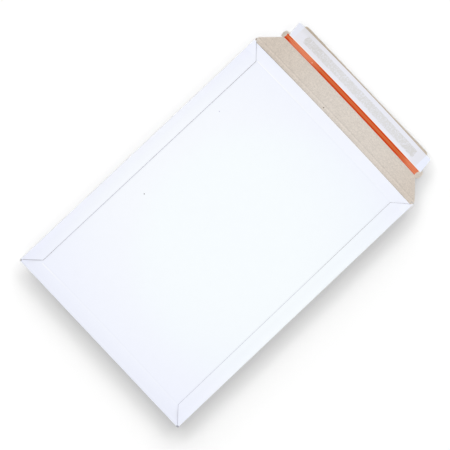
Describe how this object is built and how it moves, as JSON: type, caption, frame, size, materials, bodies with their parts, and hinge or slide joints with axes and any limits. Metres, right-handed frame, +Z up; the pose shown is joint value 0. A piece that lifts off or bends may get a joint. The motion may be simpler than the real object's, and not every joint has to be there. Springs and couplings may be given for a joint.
{
  "type": "cardboard envelope",
  "caption": "Flat board envelope for A4 papers: an open pocket with side glue flaps, and a hinged closing flap with a tear tape, a glue line and a release liner.",
  "frame": {"origin": "on the ground under the middle of the opened envelope", "axes": "+Y from the bottom fold towards the flap's free edge, +X across the envelope, +Z up from the address side to the cover"},
  "size_m": [0.234, 0.378, 0.0057],
  "materials": {
    "white_board": "white coated solid board, grey-beige uncoated inside",
    "grey_board": "uncoated inner side of the same board, white coated on its other side",
    "tape_film": "glossy orange-red film",
    "glue": "clear tacky glue",
    "liner_paper": "translucent silicone-coated paper"
  },
  "bodies": {
    "pocket": {"pocket_board": "white_board"},
    "spine": {"flap_spine": "grey_board"},
    "flap": {"closing_flap": "grey_board", "tear_tape": "tape_film", "adhesive_strip": "glue", "release_liner": "liner_paper"}
  },
  "joints": [
    {"name": "spine_crease", "type": "hinge", "parent": "pocket", "child": "spine", "pos_m": [0, 0.1408, 0.0005], "axis": [1, 0, 0], "range_deg": [0, 90]},
    {"name": "flap_crease", "type": "hinge", "parent": "spine", "child": "flap", "pos_m": [0, 0.14625, 0.0005], "axis": [1, 0, 0], "range_deg": [0, 90]}
  ]
}
